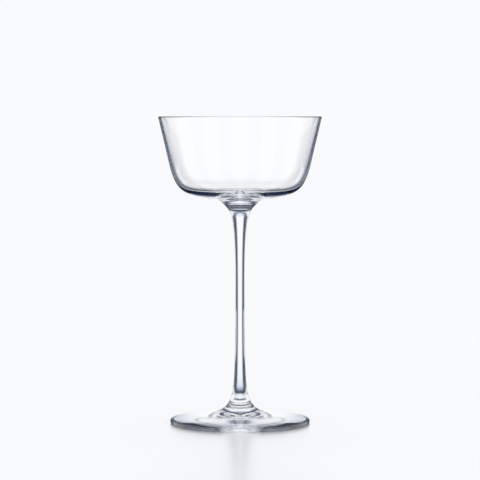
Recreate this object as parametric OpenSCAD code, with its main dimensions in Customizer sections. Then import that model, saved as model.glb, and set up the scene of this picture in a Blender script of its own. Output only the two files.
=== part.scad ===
// Stemmed cocktail glass with straight flared walls: a blown bowl, a drawn stem and a round foot, fused together.
// The origin is on the table under the centre of the foot, and +Z runs up the stem.

/* [Foot] */
// Diameter of the foot
foot_d = 70.4; // [60:0.1:80]
// Thickness of the foot at its rounded edge
foot_edge_t = 2.3; // [1.6:0.1:3.2]
// Rise of the foot's top just inside the edge, in degrees
foot_slope = 11.5; // [8:0.5:13]
// How far the foot's top runs on from the edge before it turns up
foot_top_reach = 20.5; // [16:0.1:24]
// Height of the foot's neck, up to the seam with the stem
neck_h = 16.4; // [14:0.1:20]
// Diameter of the neck at that seam
neck_d = 7.6; // [6:0.1:9]
// Lean of the outline from upright at that seam, in degrees
neck_lean = 10; // [0:0.5:15]
// How far the neck runs down from the seam before it turns out
neck_reach = 13.8; // [9:0.1:14]
// Width of the ring that the foot stands on
ring_w = 1.2; // [1:0.1:4]
// Depth of the hollow under the foot
hollow_depth = 3.5; // [2.5:0.1:5]
// Rise of the hollow just inside the ring, in degrees
hollow_slope = 9; // [5:0.5:10]
// How far the hollow runs in from the ring before it levels out
hollow_reach = 12.5; // [10:0.1:20]
// Diameter of the level middle of the hollow
hollow_level_d = 8; // [4:0.1:14]

/* [Stem] */
// Length of the stem between its two seams
stem_h = 94.1; // [80:0.1:110]
// Diameter of the stem at its waist
waist_d = 4.6; // [4:0.1:6.5]
// Height of the waist above the seam with the foot
waist_h = 45.3; // [40:0.1:55]
// How far the outline runs up from the foot's seam before it slims
stem_foot_reach = 1; // [1:0.1:8]
// How far the slim part runs down from the waist
waist_down_reach = 42; // [25:0.1:43]
// How far the slim part runs up from the waist
waist_up_reach = 42.7; // [25:0.1:45]
// Diameter of the stem's flare at the seam with the bowl
seat_d = 16.4; // [13:0.1:20]
// Lean of the outline from upright at that seam, in degrees
seat_lean = 48; // [35:0.5:60]
// How far the flare runs down from that seam before it slims
flare_reach = 5.8; // [3:0.1:8]

/* [Bowl] */
// Height of the bowl from the seam with the stem to the rim
bowl_h = 44.1; // [38:0.1:52]
// Diameter of the rim
rim_d = 82; // [74:0.1:90]
// Thickness of the wall at the rounded rim
rim_t = 0.95; // [0.7:0.05:1.6]
// Lean of the wall from upright, in degrees
wall_lean = 13.2; // [10:0.1:17]
// Height above the seam at which the straight wall begins
heel_h = 21.2; // [18:0.1:25]
// Thickness of the wall where it begins
heel_t = 1.5; // [1:0.05:2.5]
// Diameter at which the floor turns into the heel
floor_d = 44; // [38:0.1:50]
// Height of the underside above the seam at that diameter
underside_h = 4.2; // [3.6:0.1:5.2]
// Rise of the underside at that diameter, in degrees
underside_slope = 13.5; // [9:0.1:16]
// Thickness of the floor at that diameter
floor_t = 2.5; // [1.8:0.1:3.4]
// Rise of the inside at that diameter, in degrees
inside_slope = 8; // [6:0.1:12]
// Height of the inside's lowest point above the seam
inside_h = 4.8; // [3.6:0.1:5.6]
// How far the shoulder runs on from the seam before it flattens
shoulder_reach = 4.2; // [2.5:0.1:6]
// How far the flat of the underside runs in from the floor's diameter
underside_reach = 5.7; // [4:0.1:8]
// How far the heel keeps to the floor's line, as a share of the way to the corner
heel_floor_share = 0.75; // [0.5:0.005:0.9]
// How far the heel keeps to the wall's line, as a share of the way to the corner
heel_wall_share = 0.85; // [0.5:0.005:0.95]

/* [Smoothness] */
// Straight pieces in each curve of the outline
curve_steps = 20; // [8:1:40]
// Straight pieces in the half round of an edge
edge_steps = 10; // [6:1:20]

/* [Hidden] */
$fn = 120;
glass_colour = [0.87, 0.91, 0.95, 0.5];

foot_edge_r = foot_edge_t / 2;
ring_outer_r = foot_d / 2 - foot_edge_r;
ring_inner_r = ring_outer_r - ring_w;
neck_r = neck_d / 2;
waist_r = waist_d / 2;
seat_r = seat_d / 2;
seat_z = neck_h + stem_h;
waist_z = neck_h + waist_h;
rim_r = rim_d / 2;
rim_z = seat_z + bowl_h;
lip_r = rim_t / 2;
lip_centre = [rim_r - lip_r, rim_z - lip_r];

// Ends of the outer outline's curves, each as [radius, height]
edge_centre = [ring_outer_r, foot_edge_r];
neck_point = [neck_r, neck_h];
waist_point = [waist_r, waist_z];
seat_point = [seat_r, seat_z];
underside_point = [floor_d / 2, seat_z + underside_h];
lip_outer_point = lip_centre + lip_r * heading(-wall_lean);
heel_top_z = seat_z + heel_h;
heel_top_r = lip_outer_point.x - (lip_outer_point.y - heel_top_z) * tan(wall_lean);
heel_top_point = [heel_top_r, heel_top_z];

// Ends of the inner outline's curves
inner_heel_top = heel_top_point + heel_t * heading(180 - wall_lean);
inner_floor_point = underside_point + floor_t * heading(90 + underside_slope);
inside_bottom = [0, seat_z + inside_h];
to_lip = lip_centre - inner_heel_top;
inner_wall_rise = atan2(to_lip.y, to_lip.x) + asin(lip_r / norm(to_lip));

// Unit step in a direction given in degrees from straight out
function heading(angle) = [cos(angle), sin(angle)];

// Cubic curve from a to b that leaves towards a_handle and arrives from b_handle
function curve(a, a_handle, b_handle, b) = [
    for (i = [0:curve_steps])
        let (t = i / curve_steps, s = 1 - t)
            s * s * s * a + 3 * s * s * t * a_handle + 3 * s * t * t * b_handle + t * t * t * b
];

// Arc about a centre, from one angle to another
function arc(centre, radius, from, to) = [
    for (i = [0:edge_steps]) centre + radius * heading(from + (to - from) * i / edge_steps)
];

// Where the line through a at one angle crosses the line through b at another
function crossing(a, a_angle, b, b_angle) =
    let (step = b - a, turn = sin(b_angle - a_angle))
        a + heading(a_angle) * (step.x * sin(b_angle) - step.y * cos(b_angle)) / turn;

// Rounded bend from a to b that keeps to each end's own line for a share of the way to their corner
function bend(a, a_angle, a_share, b, b_angle, b_share) =
    let (corner = crossing(a, a_angle, b, b_angle))
        curve(a, a + (corner - a) * a_share, b + (corner - b) * b_share, b);

// Under the foot: from the level middle of the hollow out and down to the ring
function hollow_outline() =
    let (ring_inner = [ring_inner_r, 0])
        curve([0, hollow_depth], [hollow_level_d / 2, hollow_depth],
              ring_inner + hollow_reach * heading(180 - hollow_slope), ring_inner);

// Rounded edge of the foot, from the ring up to its sloping top
function foot_edge_outline() = arc(edge_centre, foot_edge_r, -90, 90 - foot_slope);

// Top of the foot, from its edge in and up to the neck
function foot_top_outline() =
    let (edge_top = edge_centre + foot_edge_r * heading(90 - foot_slope))
        curve(edge_top, edge_top + foot_top_reach * heading(180 - foot_slope),
              neck_point + neck_reach * heading(neck_lean - 90), neck_point);

// Side of the stem, from the foot's seam up to the waist and on to the bowl's seam
function stem_outline() = concat(
    curve(neck_point, neck_point + stem_foot_reach * heading(90 + neck_lean),
          waist_point - [0, waist_down_reach], waist_point),
    curve(waist_point, waist_point + [0, waist_up_reach],
          seat_point - flare_reach * heading(90 - seat_lean), seat_point)
);

// Outside of the bowl, from the stem's seam to the start of the rim's rounding
function bowl_outer_outline() = concat(
    curve(seat_point, seat_point + shoulder_reach * heading(90 - seat_lean),
          underside_point - underside_reach * heading(underside_slope), underside_point),
    bend(underside_point, underside_slope, heel_floor_share,
         heel_top_point, 90 - wall_lean, heel_wall_share)
);

// Rounded rim, from the outside of the wall over to the inside
function lip_outline() = arc(lip_centre, lip_r, -wall_lean, inner_wall_rise + 90);

// Inside of the bowl, from the straight wall down to the middle of the floor
function bowl_inner_outline() =
    let (bottom_reach = inner_floor_point.x / 2,
         half_way = inner_floor_point - bottom_reach * heading(inside_slope))
        concat(
            bend(inner_heel_top, inner_wall_rise, heel_wall_share,
                 inner_floor_point, inside_slope, heel_floor_share),
            curve(inner_floor_point, half_way, inside_bottom + [bottom_reach, 0], inside_bottom)
        );

// The same outline without a point that repeats the one before it
function tidy(points) = [
    for (i = [0:len(points) - 1]) if (i == 0 || points[i] != points[i - 1]) points[i]
];

module turned(points) {
    color(glass_colour)
        rotate_extrude()
            polygon(tidy(points));
}

// Round base disc with its neck, slightly hollow underneath
module foot() {
    turned(concat(
        hollow_outline(),
        foot_edge_outline(),
        foot_top_outline(),
        [[0, neck_h]]
    ));
}

// Solid drawn stem, flared at both ends, seated face to face on the neck
module stem() {
    turned(concat(
        [[0, neck_h]],
        stem_outline(),
        [[0, seat_z]]
    ));
}

// Blown bowl with a rounded rim, seated face to face on the stem's flare
module bowl() {
    turned(concat(
        [[0, seat_z]],
        bowl_outer_outline(),
        lip_outline(),
        bowl_inner_outline()
    ));
}

foot();
stem();
bowl();
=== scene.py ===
"""Clear stemmed cocktail glass: three turned pieces of fused glass, dressed over the construction model.

Every outline is drawn as (radius, height) in metres, in the construction model's own frame, and is turned
about Z.
"""

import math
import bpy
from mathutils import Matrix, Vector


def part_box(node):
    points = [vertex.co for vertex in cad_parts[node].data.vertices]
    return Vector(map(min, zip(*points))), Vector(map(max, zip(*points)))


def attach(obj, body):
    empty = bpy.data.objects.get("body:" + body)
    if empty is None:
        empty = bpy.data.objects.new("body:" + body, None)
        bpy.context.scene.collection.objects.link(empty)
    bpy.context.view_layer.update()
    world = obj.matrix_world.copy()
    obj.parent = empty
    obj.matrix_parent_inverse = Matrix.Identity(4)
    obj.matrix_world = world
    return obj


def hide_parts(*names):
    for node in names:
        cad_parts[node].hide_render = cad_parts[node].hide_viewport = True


bl_info = {
    "name": "Stemmed Cocktail Glass",
    "version": (1, 0, 0),
    "blender": (4, 5, 0),
    "location": "View3D > Sidebar > Glass",
    "description": "Turns the bowl, stem and foot of a clear cocktail glass and sets its studio",
    "category": "Add Mesh",
}

from typing import NamedTuple

import bpy
from bpy.props import FloatProperty, FloatVectorProperty, IntProperty, PointerProperty
from mathutils import Vector
from mathutils.kdtree import KDTree

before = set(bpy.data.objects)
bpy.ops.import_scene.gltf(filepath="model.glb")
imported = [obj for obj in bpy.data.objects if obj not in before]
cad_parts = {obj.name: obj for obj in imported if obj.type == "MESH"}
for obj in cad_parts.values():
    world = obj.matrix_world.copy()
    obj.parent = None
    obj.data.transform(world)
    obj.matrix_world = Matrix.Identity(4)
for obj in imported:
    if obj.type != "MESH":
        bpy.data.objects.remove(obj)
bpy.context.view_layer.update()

FOOT_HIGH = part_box("foot")[1]
STEM_LOW, STEM_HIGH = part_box("stem")
BOWL_LOW, BOWL_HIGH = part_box("bowl")
MM = 0.001

# Radius of the circle that an outline is swept along, after it is moved in by as much.
TURNING_RADIUS = 0.05
# Points nearer to each other than this are made one.
WELD_DISTANCE = 2e-7
# How far below the foot the table lies that bent light sees.
TABLE_DEPTH = 0.5 * MM

# Straight steps along each curve of the outlines, and along each half of the edge and of the lip.
STEPS = {
    "Hollow": 40, "Ring": 4, "Edge": 16, "Top": 120, "Lower side": 90, "Upper side": 130, "Shoulder": 60,
    "Heel": 50, "Wall": 16, "Lip": 8, "Inner wall": 16, "Inner heel": 50, "Inside": 40,
}
STEPS_ROUND = 320
TENT_STEPS_ROUND = 64
TENT_STEPS_UP = 32
DISC_STEPS_ROUND = 96

# Most times that light is followed through glass, and off mirrors.
GLASS_BOUNCES = 32
MIRROR_BOUNCES = 16

# Brightness of the surroundings. A stop named ACROSS is (degrees to the side of straight behind the glass,
# brightness), one named UP or TOP is (degrees above the tent's middle, brightness), and one named OUT is
# (millimetres from the axis on the table, brightness).
WINDOW_HIGH_ACROSS = ((0, 1), (14, 1), (17, 0.75), (20, 0.35), (23, 0.06), (26, 0.02), (180, 0.01))
WINDOW_LOW_ACROSS = (
    (0, 1), (12, 0.95), (16, 0.8), (19, 0.45), (22, 0.25), (25, 0.05), (28, 0.02), (180, 0.01),
)
WINDOW_HIGH_SHARE_UP = ((-5, 0), (5, 1))
WINDOW_TOP = ((-90, 1), (16, 1), (26, 0.75), (30, 0.3), (34, 0))
CEILING_ACROSS = ((0, 1), (6, 0.9), (14, 0.85), (18, 0.3), (22, 0.3), (28, 0.08), (180, 0.03))
CEILING_UP = (
    (16, 0), (20, 0.9), (24, 0.8), (28, 0.73), (34, 0.55), (42, 0.33), (52, 0.2), (66, 0.07), (90, 0.02),
)
ROOM_ACROSS = ((50, 0), (56, 0.95))
ROOM_UP = ((-14, 0), (-10, 0.3), (-3, 1), (45, 1), (70, 0.3))
BACK_ROOM_ACROSS = ((95, 0), (105, 0.95))
BACK_ROOM_UP = ((-12, 0), (-8, 1), (0, 1), (2, 0))
OTHER_WINDOWS_ACROSS = (
    (73, 0), (79, 1), (101, 1), (107, 0), (118, 0), (124, 1), (146, 1), (152, 0), (163, 0), (169, 1),
)
OTHER_WINDOWS_UP = ((-34, 0), (-30, 1), (10, 1), (14, 0))
LOW_WINDOW_ACROSS = ((38, 0), (39.5, 1), (53, 1), (56, 0))
LOW_WINDOW_UP = ((-8.7, 1), (-8.1, 0))
# Painted light: lanes of the table that are brightened out towards the low window and the back room.
LOW_PAINTED_LIGHT_LANE_OUT = ((60, 0.1), (190, 0.1), (245, 1))
BACK_PAINTED_LIGHT_LANE_OUT = ((60, 0.1), (140, 0.2), (240, 0.6))
# Painted light under the foot: the table is brightened there as if lit through the glass, fading out past
# the foot's edge.
UNDER_FOOT_PAINTED_LIGHT_ACROSS = ((0, 1), (12, 1), (30, 0.97))
UNDER_FOOT_PAINTED_LIGHT_OUT = ((33, 1), (46, 0))
# Painted light and shade on the table: painted shade under the stem, painted light under the foot, a
# painted shadow ring round the foot's edge, and painted shade that lightens outwards.
TABLE_PAINTED_SHADOW_OUT = (
    (0, 0.05), (4, 0.1), (8, 1), (30, 0.9), (33, 0.1), (36, 0.03), (46, 0.03), (52, 0.4), (60, 0.6),
    (80, 0.8), (120, 0.95), (226, 1),
)
MIRRORED_ACROSS = ((0, 1), (6, 1), (10, 0.3), (13, 0.05), (180, 0.02))
MIRRORED_UP = (
    (-90, 0.81), (-60, 0.76), (-45, 0.57), (-38, 0.41), (-34, 0.34), (-30, 0.3), (-24, 0.47), (-15, 1),
    (5, 1), (12, 0.82), (16, 0.36), (20, 0.29), (24, 0.46), (28, 0.67), (34, 0.86), (42, 0.97), (52, 1),
)
MIRRORED_SIDE_ACROSS = ((32, 0), (38, 0.8), (48, 1))
MIRRORED_SIDE_UP = ((-90, 0.8), (-45, 0.85), (-20, 1))


def length(name, description, default):
    """A size in metres."""
    return FloatProperty(
        name=name, description=description, default=default, min=0, unit="LENGTH", precision=5,
    )


def angle(name, description, degrees):
    """An angle, kept in radians."""
    return FloatProperty(
        name=name, description=description, default=math.radians(degrees), subtype="ANGLE",
    )


def share(name, description, default):
    """A part of one."""
    return FloatProperty(
        name=name, description=description, default=default, min=0, max=1, subtype="FACTOR",
    )


def colour(name, description, default):
    """A linear colour."""
    return FloatVectorProperty(
        name=name, description=description, default=default, size=3, min=0, max=1, subtype="COLOR",
    )


class FootSizes(bpy.types.PropertyGroup):
    """Sizes of the round base disc and its neck"""

    radius: length("Radius", "From the axis to the foot's edge", FOOT_HIGH.x)
    edge: length("Edge", "Thickness at the rounded edge", 2.3 * MM)
    slope: angle("Slope", "Rise of the top just inside the edge", 11.5)
    top_reach: length("Top reach", "How far the top runs on before it turns up", 20.5 * MM)
    neck_radius: length("Neck radius", "Radius at the seam with the stem", 3.8 * MM)
    neck_lean: angle("Neck lean", "Lean from upright at that seam", 10)
    neck_reach: length("Neck reach", "How far the neck runs down before it turns out", 13.8 * MM)
    ring: length("Ring", "Width of the ring that the foot stands on", 1.2 * MM)
    hollow: length("Hollow", "Depth of the hollow underneath", 3.5 * MM)
    hollow_slope: angle("Hollow slope", "Rise of the underside just inside the ring", 9)
    hollow_reach: length("Hollow reach", "How far the underside runs in before it levels out", 12.5 * MM)
    hollow_level: length("Hollow level", "Radius of the level middle of the hollow", 4 * MM)


class StemSizes(bpy.types.PropertyGroup):
    """Sizes of the drawn stem"""

    waist_radius: length("Waist radius", "Radius at the slimmest place", 2.3 * MM)
    waist_height: length("Waist height", "Height of the waist above the foot's seam", 45.3 * MM)
    foot_reach: length("Foot reach", "How far the outline runs up from the foot's seam", 1 * MM)
    down_reach: length("Down reach", "How far the slim part runs down from the waist", 42 * MM)
    up_reach: length("Up reach", "How far the slim part runs up from the waist", 42.7 * MM)
    seat_lean: angle("Seat lean", "Lean from upright at the bowl's seam", 48)
    flare_reach: length("Flare reach", "How far the flare runs down from that seam", 5.8 * MM)


class BowlSizes(bpy.types.PropertyGroup):
    """Sizes of the blown bowl"""

    rim: length("Rim", "Thickness of the wall at the rounded rim", 0.95 * MM)
    wall_lean: angle("Wall lean", "Lean of the wall from upright", 13.2)
    heel_height: length("Heel height", "Height above the seam at which the straight wall begins", 21.2 * MM)
    heel: length("Heel", "Thickness of the wall where it begins", 1.5 * MM)
    floor_radius: length("Floor radius", "Where the floor turns into the heel", 22 * MM)
    underside: length("Underside", "Height of the underside above the seam there", 4.2 * MM)
    underside_slope: angle("Underside slope", "Rise of the underside there", 13.5)
    floor: length("Floor", "Thickness of the floor there", 2.5 * MM)
    inside_slope: angle("Inside slope", "Rise of the inside there", 8)
    inside: length("Inside", "Height of the inside's lowest point above the seam", 4.8 * MM)
    shoulder_reach: length("Shoulder reach", "How far the shoulder runs on from the seam", 4.2 * MM)
    underside_reach: length("Underside reach", "How far the flat of the underside runs in", 5.7 * MM)
    heel_floor_share: share("Heel to floor", "How far the heel keeps to the floor's line", 0.75)
    heel_wall_share: share("Heel to wall", "How far the heel keeps to the wall's line", 0.85)


class GlassLook(bpy.types.PropertyGroup):
    """Finish of the clear glass"""

    tint: colour("Tint", "Colour left after a pass through the glass", (0.997, 0.999, 1.0))
    ior: FloatProperty(name="IOR", description="Index of refraction", default=1.5, min=1, max=2)
    wave_scale: FloatProperty(name="Wave scale", description="Waves in the surface per metre", default=60)
    wave_height: length("Wave height", "Height of those waves", 0.01 * MM)
    steps_round: IntProperty(
        name="Steps round", description="Faces round each piece", default=STEPS_ROUND, min=48, max=512,
    )


class StudioLook(bpy.types.PropertyGroup):
    """Backdrop, flags, floor and camera"""

    backdrop: colour("Backdrop", "Colour of the backdrop and the floor", (0.947, 0.956, 0.973))
    haze: colour("Haze", "Blue grey between the dark flags and the windows", (0.365, 0.452, 0.58))
    haze_place: share("Haze place", "Brightness at which the surroundings have that blue grey", 0.47)
    flag: colour("Flag", "Colour of the dark flags", (0.001, 0.01, 0.034))
    window: colour("Window", "Colour of the pale windows round the glass", (0.985, 0.992, 1.0))
    tent_radius: length("Tent radius", "From the axis to the window and the flags", 0.42)
    tent_height: length("Tent height", "Height of the middle of the tent", 0.08)
    floor_radius: length("Floor radius", "Radius of the floor", 6.0)
    gloss: share("Gloss", "Share of the floor's light that is mirrored", 0.78)
    gloss_roughness: share("Gloss roughness", "Roughness of that mirror", 0.27)
    camera_distance: length("Camera distance", "From the axis to the camera", 1.1)
    camera_height: length("Camera height", "Height of the camera", 0.1546)
    camera_pitch: angle("Camera pitch", "How far the camera looks down", 3.229)
    camera_lens: FloatProperty(
        name="Camera lens", description="Focal length in millimetres", default=164.18, min=1,
    )


class GlassSettings(bpy.types.PropertyGroup):
    """All the values that the operators read"""

    foot: PointerProperty(type=FootSizes)
    stem: PointerProperty(type=StemSizes)
    bowl: PointerProperty(type=BowlSizes)
    look: PointerProperty(type=GlassLook)
    studio: PointerProperty(type=StudioLook)


class Curve(NamedTuple):
    """One cubic curve of an outline: start, start handle, end handle and end, as (radius, height)."""

    name: str
    points: tuple
    steps: int = 1
    seam: bool = False


def heading(turn):
    """Unit step at an angle from straight out."""
    return Vector((math.cos(turn), math.sin(turn)))


def straight(name, start, end, steps=1, seam=False):
    """A straight stretch as a cubic curve."""
    third = (end - start) / 3
    return Curve(name, (start, start + third, end - third, end), steps, seam)


def arc(name, centre, radius, start, end, steps):
    """A round stretch as two cubic curves of like length."""
    middle = (start + end) / 2
    quarter = math.pi / 2
    curves = []
    for part, (a, b) in enumerate(((start, middle), (middle, end))):
        reach = 4 / 3 * math.tan((b - a) / 4) * radius
        first, last = centre + radius * heading(a), centre + radius * heading(b)
        handles = first + reach * heading(a + quarter), last - reach * heading(b + quarter)
        curves.append(Curve(f"{name} {part + 1}", (first, *handles, last), steps))
    return curves


def crossing(a, a_turn, b, b_turn):
    """Where the line through a at one angle crosses the line through b at another."""
    step = b - a
    along = (step.x * math.sin(b_turn) - step.y * math.cos(b_turn)) / math.sin(b_turn - a_turn)
    return a + along * heading(a_turn)


def bend(name, a, a_turn, a_share, b, b_turn, b_share, steps):
    """Rounded corner from a to b that keeps to each end's own line for a share of the way."""
    corner = crossing(a, a_turn, b, b_turn)
    return Curve(name, (a, a + (corner - a) * a_share, b + (corner - b) * b_share, b), steps)


def foot_outline(sizes):
    """Outline of the foot, from the middle of its hollow round to the seam with the stem."""
    edge_radius = sizes.edge / 2
    ring_outer = Vector((sizes.radius - edge_radius, 0))
    ring_inner = ring_outer - Vector((sizes.ring, 0))
    hollow = (
        Vector((0, sizes.hollow)),
        Vector((sizes.hollow_level, sizes.hollow)),
        ring_inner + sizes.hollow_reach * heading(math.pi - sizes.hollow_slope),
        ring_inner,
    )
    edge_centre = ring_outer + Vector((0, edge_radius))
    top_turn = math.pi / 2 - sizes.slope
    edge_top = edge_centre + edge_radius * heading(top_turn)
    neck = Vector((sizes.neck_radius, FOOT_HIGH.z))
    top = (
        edge_top,
        edge_top + sizes.top_reach * heading(math.pi - sizes.slope),
        neck + sizes.neck_reach * heading(sizes.neck_lean - math.pi / 2),
        neck,
    )
    return [
        Curve("Hollow", hollow, STEPS["Hollow"]),
        straight("Ring", ring_inner, ring_outer, STEPS["Ring"]),
        *arc("Edge", edge_centre, edge_radius, -math.pi / 2, top_turn, STEPS["Edge"]),
        Curve("Top", top, STEPS["Top"]),
        straight("Stem seam", neck, Vector((0, neck.y)), seam=True),
    ]


def stem_outline(sizes, foot):
    """Outline of the stem, from the foot's seam up to the bowl's seam."""
    neck = Vector((foot.neck_radius, STEM_LOW.z))
    waist = Vector((sizes.waist_radius, STEM_LOW.z + sizes.waist_height))
    seat = Vector((STEM_HIGH.x, STEM_HIGH.z))
    lower = (
        neck,
        neck + sizes.foot_reach * heading(math.pi / 2 + foot.neck_lean),
        waist - Vector((0, sizes.down_reach)),
        waist,
    )
    upper = (
        waist,
        waist + Vector((0, sizes.up_reach)),
        seat - sizes.flare_reach * heading(math.pi / 2 - sizes.seat_lean),
        seat,
    )
    return [
        straight("Foot seam", Vector((0, neck.y)), neck, seam=True),
        Curve("Lower side", lower, STEPS["Lower side"]),
        Curve("Upper side", upper, STEPS["Upper side"]),
        straight("Bowl seam", seat, Vector((0, seat.y)), seam=True),
    ]


def bowl_outline(sizes, stem):
    """Outline of the bowl, from the stem's seam round the rim to the middle of the inside."""
    seat = Vector((STEM_HIGH.x, BOWL_LOW.z))
    lip_radius = sizes.rim / 2
    lip = Vector((BOWL_HIGH.x - lip_radius, BOWL_HIGH.z - lip_radius))
    underside = Vector((sizes.floor_radius, seat.y + sizes.underside))
    wall_turn = math.pi / 2 - sizes.wall_lean
    lip_outer = lip + lip_radius * heading(-sizes.wall_lean)
    heel_rise = lip_outer.y - (seat.y + sizes.heel_height)
    heel_top = lip_outer - heel_rise * Vector((math.tan(sizes.wall_lean), 1))
    inner_heel = heel_top + sizes.heel * heading(math.pi - sizes.wall_lean)
    inner_floor = underside + sizes.floor * heading(math.pi / 2 + sizes.underside_slope)
    bottom = Vector((0, seat.y + sizes.inside))
    to_lip = lip - inner_heel
    inner_turn = math.atan2(to_lip.y, to_lip.x) + math.asin(lip_radius / to_lip.length)
    lip_inner = lip + lip_radius * heading(inner_turn + math.pi / 2)
    half = inner_floor.x / 2
    shoulder = (
        seat,
        seat + sizes.shoulder_reach * heading(math.pi / 2 - stem.seat_lean),
        underside - sizes.underside_reach * heading(sizes.underside_slope),
        underside,
    )
    inside = (
        inner_floor,
        inner_floor - half * heading(sizes.inside_slope),
        bottom + Vector((half, 0)),
        bottom,
    )
    return [
        straight("Stem seam", Vector((0, seat.y)), seat, seam=True),
        Curve("Shoulder", shoulder, STEPS["Shoulder"]),
        bend("Heel", underside, sizes.underside_slope, sizes.heel_floor_share,
             heel_top, wall_turn, sizes.heel_wall_share, STEPS["Heel"]),
        straight("Wall", heel_top, lip_outer, STEPS["Wall"]),
        *arc("Lip", lip, lip_radius, -sizes.wall_lean, inner_turn + math.pi / 2, STEPS["Lip"]),
        straight("Inner wall", lip_inner, inner_heel, STEPS["Inner wall"]),
        bend("Inner heel", inner_heel, inner_turn, sizes.heel_wall_share,
             inner_floor, sizes.inside_slope, sizes.heel_floor_share, STEPS["Inner heel"]),
        Curve("Inside", inside, STEPS["Inside"]),
    ]


def named_input(tree, label, kind, default):
    """Adds an input to a node tree."""
    socket = tree.interface.new_socket(label, in_out="INPUT", socket_type=kind)
    socket.default_value = default


def swept_curve(tree, entry, circle, curve):
    """Faces of one curve, turned about the axis. They carry an attribute that says if they are a seam."""
    nodes, links = tree.nodes, tree.links
    named_input(tree, f"{curve.name} steps", "NodeSocketInt", curve.steps)
    segment = nodes.new("GeometryNodeCurvePrimitiveBezierSegment")
    links.new(entry.outputs[f"{curve.name} steps"], segment.inputs["Resolution"])
    for end, point in zip(("Start", "Start Handle", "End Handle", "End"), curve.points):
        label = f"{curve.name} {end.lower()}"
        named_input(tree, label, "NodeSocketVector", (point.x, point.y, 0))
        links.new(entry.outputs[label], segment.inputs[end])
    moved_in = nodes.new("GeometryNodeTransform")
    moved_in.inputs["Translation"].default_value = (-TURNING_RADIUS, 0, 0)
    sweep = nodes.new("GeometryNodeCurveToMesh")
    seam = nodes.new("GeometryNodeStoreNamedAttribute")
    seam.data_type = "BOOLEAN"
    seam.domain = "FACE"
    seam.inputs["Name"].default_value = "seam"
    seam.inputs["Value"].default_value = curve.seam
    links.new(segment.outputs["Curve"], moved_in.inputs["Geometry"])
    links.new(circle.outputs["Curve"], sweep.inputs["Curve"])
    links.new(moved_in.outputs["Geometry"], sweep.inputs["Profile Curve"])
    links.new(sweep.outputs["Mesh"], seam.inputs["Geometry"])
    return seam.outputs["Geometry"]


def turning_tree(name, outline):
    """Node tree that turns an outline about Z. Its inputs are the outline's points and its steps."""
    tree = bpy.data.node_groups.new(name, "GeometryNodeTree")
    nodes, links = tree.nodes, tree.links
    named_input(tree, "Steps round", "NodeSocketInt", STEPS_ROUND)
    named_input(tree, "Glass", "NodeSocketMaterial", None)
    named_input(tree, "Seam", "NodeSocketMaterial", None)
    tree.interface.new_socket("Geometry", in_out="OUTPUT", socket_type="NodeSocketGeometry")
    entry = nodes.new("NodeGroupInput")
    circle = nodes.new("GeometryNodeCurvePrimitiveCircle")
    circle.inputs["Radius"].default_value = TURNING_RADIUS
    links.new(entry.outputs["Steps round"], circle.inputs["Resolution"])
    join = nodes.new("GeometryNodeJoinGeometry")
    for curve in outline:
        links.new(swept_curve(tree, entry, circle, curve), join.inputs["Geometry"])
    upright = nodes.new("GeometryNodeTransform")
    upright.inputs["Rotation"].default_value = (math.pi, 0, 0)
    weld = nodes.new("GeometryNodeMergeByDistance")
    weld.inputs["Distance"].default_value = WELD_DISTANCE
    realize = nodes.new("GeometryNodeRealizeInstances")
    is_seam = nodes.new("GeometryNodeInputNamedAttribute")
    is_seam.data_type = "BOOLEAN"
    is_seam.inputs["Name"].default_value = "seam"
    glass, seams = nodes.new("GeometryNodeSetMaterial"), nodes.new("GeometryNodeSetMaterial")
    result = nodes.new("NodeGroupOutput")
    chain = (join, upright, weld, realize, glass, seams, result)
    for before, after in zip(chain, chain[1:]):
        links.new(before.outputs[0], after.inputs[0])
    links.new(entry.outputs["Glass"], glass.inputs["Material"])
    links.new(entry.outputs["Seam"], seams.inputs["Material"])
    links.new(is_seam.outputs["Attribute"], seams.inputs["Selection"])
    return tree


def outline_normals(outline):
    """A search tree of the outline's points outside its seams, and the outward normal at each."""
    places, normals = [], []
    for curve in outline:
        if curve.seam:
            continue
        a, b, c, d = curve.points
        for i in range(curve.steps + 1):
            t = i / curve.steps
            s = 1 - t
            place = s ** 3 * a + 3 * s * s * t * b + 3 * s * t * t * c + t ** 3 * d
            along = s * s * (b - a) + 2 * s * t * (c - b) + t * t * (d - c)
            places.append(Vector((place.x, place.y, 0)))
            normals.append(Vector((along.y, -along.x)).normalized())
    tree = KDTree(len(places))
    for i, place in enumerate(places):
        tree.insert(place, i)
    tree.balance()
    return tree, normals


def set_true_normals(mesh, outline):
    """Gives the mesh the outline's own normals, so that light bends evenly. Seams stay flat."""
    tree, normals = outline_normals(outline)
    at_vertex = []
    for vertex in mesh.vertices:
        x, y, z = vertex.co
        radius = math.hypot(x, y)
        nearest = tree.find(Vector((radius, z, 0)))[1]
        out, up = normals[nearest]
        scale = out / radius if radius > WELD_DISTANCE else 0
        at_vertex.append(Vector((x * scale, y * scale, up)).normalized())
    at_corner = [None] * len(mesh.loops)
    seam = mesh.attributes["seam"].data
    for face in mesh.polygons:
        for corner in face.loop_indices:
            flat = seam[face.index].value
            at_corner[corner] = face.normal if flat else at_vertex[mesh.loops[corner].vertex_index]
    mesh.shade_smooth()
    mesh.normals_split_custom_set(at_corner)


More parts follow.
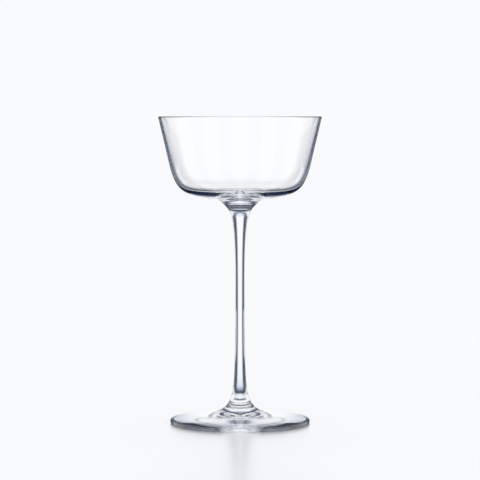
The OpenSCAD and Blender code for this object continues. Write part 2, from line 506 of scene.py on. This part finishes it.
def turned_piece(name, node, outline, settings):
    """Turns an outline into a closed mesh that stands for a construction node."""
    glass = glass_material(f"{name}_glass", settings.look)
    seam = bpy.data.materials.get("fused_seam") or seam_material("fused_seam")
    holder = bpy.data.objects.new(f"{name}_outline", bpy.data.meshes.new(f"{name}_outline"))
    bpy.context.scene.collection.objects.link(holder)
    modifier = holder.modifiers.new("Turning", "NODES")
    modifier.node_group = turning_tree(f"Turned {name}", outline)
    values = {"Steps round": settings.look.steps_round, "Glass": glass, "Seam": seam}
    for item in modifier.node_group.interface.items_tree:
        if item.in_out == "INPUT" and item.name in values:
            modifier[item.identifier] = values[item.name]
    depsgraph = bpy.context.evaluated_depsgraph_get()
    mesh = bpy.data.meshes.new_from_object(holder.evaluated_get(depsgraph))
    bpy.data.objects.remove(holder)
    set_true_normals(mesh, outline)
    mesh.name = name
    piece = bpy.data.objects.new(name, mesh)
    bpy.context.scene.collection.objects.link(piece)
    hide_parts(node)
    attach(piece, "root")
    return piece


def new_material(name):
    """An empty node material, its node tree and its output node."""
    material = bpy.data.materials.new(name)
    material.use_nodes = True
    material.node_tree.nodes.clear()
    return material, material.node_tree, material.node_tree.nodes.new("ShaderNodeOutputMaterial")


def glass_material(name, look):
    """Clear fire-polished glass whose surface waves slightly, as blown and drawn glass does."""
    material, tree, output = new_material(name)
    shader = tree.nodes.new("ShaderNodeBsdfPrincipled")
    shader.inputs["Base Color"].default_value = (*look.tint, 1)
    shader.inputs["Roughness"].default_value = 0.0
    shader.inputs["IOR"].default_value = look.ior
    shader.inputs["Transmission Weight"].default_value = 1.0
    place = tree.nodes.new("ShaderNodeTexCoord")
    waves = tree.nodes.new("ShaderNodeTexNoise")
    waves.inputs["Scale"].default_value = look.wave_scale
    waves.inputs["Detail"].default_value = 1.0
    bump = tree.nodes.new("ShaderNodeBump")
    bump.inputs["Strength"].default_value = 1.0
    bump.inputs["Distance"].default_value = look.wave_height
    tree.links.new(place.outputs["Object"], waves.inputs["Vector"])
    tree.links.new(waves.outputs["Fac"], bump.inputs["Height"])
    tree.links.new(bump.outputs["Normal"], shader.inputs["Normal"])
    tree.links.new(shader.outputs["BSDF"], output.inputs["Surface"])
    return material


def seam_material(name):
    """Fused glass meets glass here, so light passes straight through."""
    material, tree, output = new_material(name)
    clear = tree.nodes.new("ShaderNodeBsdfTransparent")
    tree.links.new(clear.outputs["BSDF"], output.inputs["Surface"])
    return material


def floor_material(studio):
    """Pale board with a soft gloss."""
    material, tree, output = new_material("pale_board")
    matt = tree.nodes.new("ShaderNodeBsdfDiffuse")
    matt.inputs["Color"].default_value = (*studio.backdrop, 1)
    gloss = tree.nodes.new("ShaderNodeBsdfGlossy")
    gloss.inputs["Color"].default_value = (1, 1, 1, 1)
    gloss.inputs["Roughness"].default_value = studio.gloss_roughness
    board = tree.nodes.new("ShaderNodeMixShader")
    board.inputs["Fac"].default_value = studio.gloss
    tree.links.new(matt.outputs["BSDF"], board.inputs[1])
    tree.links.new(gloss.outputs["BSDF"], board.inputs[2])
    tree.links.new(board.outputs["Shader"], output.inputs["Surface"])
    return material


def math_node(tree, operation, *values):
    """A maths node. Each value is a number or the socket that it comes from."""
    node = tree.nodes.new("ShaderNodeMath")
    node.operation = operation
    for socket, value in zip(node.inputs, values):
        if isinstance(value, (int, float)):
            socket.default_value = value
        else:
            tree.links.new(value, socket)
    return node.outputs["Value"]


def bearings(tree, height):
    """Angle to the side from straight behind the glass, and angle above the tent's middle, in degrees."""
    place = tree.nodes.new("ShaderNodeTexCoord")
    centred = tree.nodes.new("ShaderNodeVectorMath")
    centred.operation = "SUBTRACT"
    centred.inputs[1].default_value = (0, 0, height)
    far = tree.nodes.new("ShaderNodeVectorMath")
    far.operation = "NORMALIZE"
    split = tree.nodes.new("ShaderNodeSeparateXYZ")
    tree.links.new(place.outputs["Object"], centred.inputs[0])
    tree.links.new(centred.outputs["Vector"], far.inputs[0])
    tree.links.new(far.outputs["Vector"], split.inputs["Vector"])
    aside = math_node(tree, "ARCTAN2", math_node(tree, "ABSOLUTE", split.outputs["X"]), split.outputs["Y"])
    above = math_node(tree, "ARCSINE", split.outputs["Z"])
    return math_node(tree, "DEGREES", aside), math_node(tree, "DEGREES", above)


def ramp(tree, value, stops):
    """Brightness over a value. Each stop is a value and the brightness there."""
    low, high = stops[0][0], stops[-1][0]
    node = tree.nodes.new("ShaderNodeValToRGB")
    elements = node.color_ramp.elements
    while len(elements) < len(stops):
        elements.new(0.5)
    for element, (at, tone) in zip(elements, stops):
        element.position = (at - low) / (high - low)
        element.color = (tone, tone, tone, 1)
    way = math_node(tree, "MULTIPLY_ADD", value, 1 / (high - low), -low / (high - low))
    tree.links.new(way, node.inputs["Fac"])
    return node.outputs["Color"]


def patch(tree, aside, above, sideways, upward):
    """Brightness that falls off sideways and upward by its own stops."""
    return math_node(tree, "MULTIPLY", ramp(tree, aside, sideways), ramp(tree, above, upward))


def brightest(tree, values):
    """The most of several brightnesses."""
    total = values[0]
    for other in values[1:]:
        total = math_node(tree, "MAXIMUM", total, other)
    return total


def any_ray(tree, *kinds):
    """One where the ray is of any of the kinds named."""
    path = tree.nodes.new("ShaderNodeLightPath")
    return brightest(tree, [path.outputs[kind] for kind in kinds])


def studio_colour(tree, brightness, studio):
    """Colour from the dark flags through blue grey to the pale windows."""
    node = tree.nodes.new("ShaderNodeValToRGB")
    elements = node.color_ramp.elements
    elements.new(0.5)
    stops = ((0, studio.flag), (studio.haze_place, studio.haze), (1, studio.window))
    for element, (at, tone) in zip(elements, stops):
        element.position = at
        element.color = (*tone, 1)
    tree.links.new(brightness, node.inputs["Fac"])
    return node.outputs["Color"]


def mixed(tree, share_of_second, first, second):
    """Mix of two colours. Each is a colour or the socket that it comes from, and the share is a socket."""
    node = tree.nodes.new("ShaderNodeMix")
    node.data_type = "RGBA"
    sockets = {socket.identifier: socket for socket in node.inputs}
    values = (("Factor_Float", share_of_second), ("A_Color", first), ("B_Color", second))
    for identifier, value in values:
        if isinstance(value, tuple):
            sockets[identifier].default_value = value
        else:
            tree.links.new(value, sockets[identifier])
    return {socket.identifier: socket for socket in node.outputs}["Result_Color"]


def tent_material(name):
    """Material of a tent, with its tree and its emission."""
    material, tree, output = new_material(name)
    material.cycles.emission_sampling = "NONE"
    glow = tree.nodes.new("ShaderNodeEmission")
    tree.links.new(glow.outputs["Emission"], output.inputs["Surface"])
    return material, tree, glow


def refraction_tent(name, studio):
    """What bent light sees: a pale window between dark flags, a ceiling, a room and more windows."""
    material, tree, glow = tent_material(name)
    aside, above = bearings(tree, studio.tent_height)
    low = ramp(tree, aside, WINDOW_LOW_ACROSS)
    high = ramp(tree, aside, WINDOW_HIGH_ACROSS)
    across = mixed(tree, ramp(tree, above, WINDOW_HIGH_SHARE_UP), low, high)
    total = brightest(tree, (
        math_node(tree, "MULTIPLY", across, ramp(tree, above, WINDOW_TOP)),
        patch(tree, aside, above, CEILING_ACROSS, CEILING_UP),
        patch(tree, aside, above, ROOM_ACROSS, ROOM_UP),
        patch(tree, aside, above, BACK_ROOM_ACROSS, BACK_ROOM_UP),
        patch(tree, aside, above, OTHER_WINDOWS_ACROSS, OTHER_WINDOWS_UP),
        patch(tree, aside, above, LOW_WINDOW_ACROSS, LOW_WINDOW_UP),
    ))
    tree.links.new(studio_colour(tree, total, studio), glow.inputs["Color"])
    return material


def table_painted_light_and_shade_material(name, studio):
    """The table as bent light sees it: painted light under the foot, a painted shadow ring round it,
    painted shade under the stem, and lanes of painted light toward each window with painted shade beside
    them.
    """
    material, tree, glow = tent_material(name)
    aside = bearings(tree, 0)[0]
    place = tree.nodes.new("ShaderNodeTexCoord")
    out = tree.nodes.new("ShaderNodeVectorMath")
    out.operation = "LENGTH"
    tree.links.new(place.outputs["Object"], out.inputs[0])
    distance = math_node(tree, "DIVIDE", out.outputs["Value"], MM)
    # Painted window light by bearing: lanes of painted light toward each window and under the foot, with
    # painted shade beside them.
    painted_window_light = brightest(tree, (
        ramp(tree, aside, WINDOW_LOW_ACROSS),
        ramp(tree, aside, OTHER_WINDOWS_ACROSS),
        patch(tree, aside, distance, LOW_WINDOW_ACROSS, LOW_PAINTED_LIGHT_LANE_OUT),
        patch(tree, aside, distance, BACK_ROOM_ACROSS, BACK_PAINTED_LIGHT_LANE_OUT),
        patch(tree, aside, distance, UNDER_FOOT_PAINTED_LIGHT_ACROSS, UNDER_FOOT_PAINTED_LIGHT_OUT),
    ))
    # Painted shade under the stem and a painted shadow ring round the foot.
    total = math_node(tree, "MULTIPLY", painted_window_light, ramp(tree, distance, TABLE_PAINTED_SHADOW_OUT))
    tree.links.new(studio_colour(tree, total, studio), glow.inputs["Color"])
    return material


def reflection_tent(name, studio):
    """What sharp reflections see: dark flags beside the window. The floor's gloss sees plain backdrop."""
    material, tree, glow = tent_material(name)
    aside, above = bearings(tree, studio.tent_height)
    total = brightest(tree, (
        patch(tree, aside, above, MIRRORED_ACROSS, MIRRORED_UP),
        patch(tree, aside, above, MIRRORED_SIDE_ACROSS, MIRRORED_SIDE_UP),
    ))
    plain = (*studio.backdrop, 1)
    seen = mixed(tree, any_ray(tree, "Is Singular Ray"), plain, studio_colour(tree, total, studio))
    tree.links.new(seen, glow.inputs["Color"])
    return material


def round_mesh(name, outline, steps):
    """Plain mesh of revolution from a few (radius, height) points."""
    vertices = [
        (r * math.cos(2 * math.pi * k / steps), r * math.sin(2 * math.pi * k / steps), z)
        for r, z in outline
        for k in range(steps)
    ]
    faces = [
        (j * steps + k, j * steps + (k + 1) % steps, (j + 1) * steps + (k + 1) % steps, (j + 1) * steps + k)
        for j in range(len(outline) - 1)
        for k in range(steps)
    ]
    mesh = bpy.data.meshes.new(name)
    mesh.from_pydata(vertices, [], faces)
    return mesh


def stage_object(name, mesh, material):
    """Adds a stage piece with one material."""
    mesh.materials.append(material)
    piece = bpy.data.objects.new(name, mesh)
    bpy.context.scene.collection.objects.link(piece)
    return piece


def seen_only_by(piece, kind):
    """Hides a stage piece from every ray but one kind."""
    for ray in ("camera", "diffuse", "glossy", "transmission", "volume_scatter", "shadow"):
        setattr(piece, f"visible_{ray}", ray == kind)


def make_camera(studio):
    """Camera at the photograph's viewing angle."""
    data = bpy.data.cameras.new("camera")
    data.lens = studio.camera_lens
    camera = bpy.data.objects.new("camera", data)
    camera.location = (0, -studio.camera_distance, studio.camera_height)
    camera.rotation_euler = (math.pi / 2 - studio.camera_pitch, 0, 0)
    bpy.context.scene.collection.objects.link(camera)
    bpy.context.scene.camera = camera


def make_tents(studio):
    """Two tents round the glass: one that only refractions see, with its table of painted light and shade,
    and one for reflections.
    """
    makers = {"transmission": refraction_tent, "glossy": reflection_tent}
    radius, height = studio.tent_radius, studio.tent_height
    half_turn = [math.pi * (i / TENT_STEPS_UP - 0.5) for i in range(TENT_STEPS_UP + 1)]
    outline = [(radius * math.cos(t), height + radius * math.sin(t)) for t in half_turn]
    for kind, make in makers.items():
        name = f"tent_{kind}"
        tent = stage_object(name, round_mesh(name, outline, TENT_STEPS_ROUND), make(name, studio))
        seen_only_by(tent, kind)
    name = "tent_table_painted_light_and_shade"
    table_radius = math.sqrt(radius ** 2 - height ** 2)
    disc = ((0, -TABLE_DEPTH), (table_radius, -TABLE_DEPTH))
    # The table's glow is painted light and shade, not a lit board.
    table = stage_object(name, round_mesh(name, disc, DISC_STEPS_ROUND), table_painted_light_and_shade_material(name, studio))
    seen_only_by(table, "transmission")


def make_world(studio):
    """Even white light. Camera and glass see it as the backdrop."""
    world = bpy.data.worlds.new("studio")
    world.use_nodes = True
    tree = world.node_tree
    tree.nodes.clear()
    output = tree.nodes.new("ShaderNodeOutputWorld")
    light, backdrop = tree.nodes.new("ShaderNodeBackground"), tree.nodes.new("ShaderNodeBackground")
    light.inputs["Color"].default_value = (1, 1, 1, 1)
    backdrop.inputs["Color"].default_value = (*studio.backdrop, 1)
    either = tree.nodes.new("ShaderNodeMixShader")
    seen = any_ray(tree, "Is Camera Ray", "Is Glossy Ray", "Is Transmission Ray")
    tree.links.new(seen, either.inputs["Fac"])
    tree.links.new(light.outputs["Background"], either.inputs[1])
    tree.links.new(backdrop.outputs["Background"], either.inputs[2])
    tree.links.new(either.outputs["Shader"], output.inputs["Surface"])
    bpy.context.scene.world = world


class GLASS_OT_studio(bpy.types.Operator):
    """Add the camera, the floor, the tents and the even light"""

    bl_idname = "glass.studio"
    bl_label = "Studio"

    def execute(self, context):
        studio = context.scene.cocktail_glass.studio
        make_camera(studio)
        disc = round_mesh("floor", ((0, 0), (studio.floor_radius, 0)), DISC_STEPS_ROUND)
        floor = stage_object("floor", disc, floor_material(studio))
        floor.visible_transmission = False
        floor.visible_glossy = False
        make_tents(studio)
        make_world(studio)
        context.scene.view_settings.view_transform = "Standard"
        cycles = context.scene.cycles
        cycles.max_bounces = GLASS_BOUNCES
        cycles.transmission_bounces = GLASS_BOUNCES
        cycles.transparent_max_bounces = GLASS_BOUNCES
        cycles.glossy_bounces = MIRROR_BOUNCES
        return {"FINISHED"}


class GLASS_OT_foot(bpy.types.Operator):
    """Turn the round foot with its neck"""

    bl_idname = "glass.foot"
    bl_label = "Foot"

    def execute(self, context):
        settings = context.scene.cocktail_glass
        turned_piece("round_foot", "foot", foot_outline(settings.foot), settings)
        return {"FINISHED"}


class GLASS_OT_stem(bpy.types.Operator):
    """Turn the drawn stem"""

    bl_idname = "glass.stem"
    bl_label = "Stem"

    def execute(self, context):
        settings = context.scene.cocktail_glass
        outline = stem_outline(settings.stem, settings.foot)
        turned_piece("drawn_stem", "stem", outline, settings)
        return {"FINISHED"}


class GLASS_OT_bowl(bpy.types.Operator):
    """Turn the blown bowl"""

    bl_idname = "glass.bowl"
    bl_label = "Bowl"

    def execute(self, context):
        settings = context.scene.cocktail_glass
        outline = bowl_outline(settings.bowl, settings.stem)
        turned_piece("blown_bowl", "bowl", outline, settings)
        return {"FINISHED"}


class GLASS_PT_panel(bpy.types.Panel):
    """Buttons for the pieces and the studio"""

    bl_idname = "GLASS_PT_panel"
    bl_label = "Stemmed Cocktail Glass"
    bl_space_type = "VIEW_3D"
    bl_region_type = "UI"
    bl_category = "Glass"

    def draw(self, context):
        for operator in OPERATORS:
            self.layout.operator(operator.bl_idname)


GROUPS = (FootSizes, StemSizes, BowlSizes, GlassLook, StudioLook, GlassSettings)
OPERATORS = (GLASS_OT_studio, GLASS_OT_foot, GLASS_OT_stem, GLASS_OT_bowl)
CLASSES = (*GROUPS, *OPERATORS, GLASS_PT_panel)


def register():
    """Adds the classes and the scene's settings."""
    for cls in CLASSES:
        bpy.utils.register_class(cls)
    bpy.types.Scene.cocktail_glass = PointerProperty(type=GlassSettings)


def unregister():
    """Takes the settings and the classes away."""
    del bpy.types.Scene.cocktail_glass
    for cls in reversed(CLASSES):
        bpy.utils.unregister_class(cls)


def main():
    """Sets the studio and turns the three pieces."""
    register()
    bpy.ops.glass.studio()
    bpy.ops.glass.foot()
    bpy.ops.glass.stem()
    bpy.ops.glass.bowl()


if __name__ == "__main__":
    main()
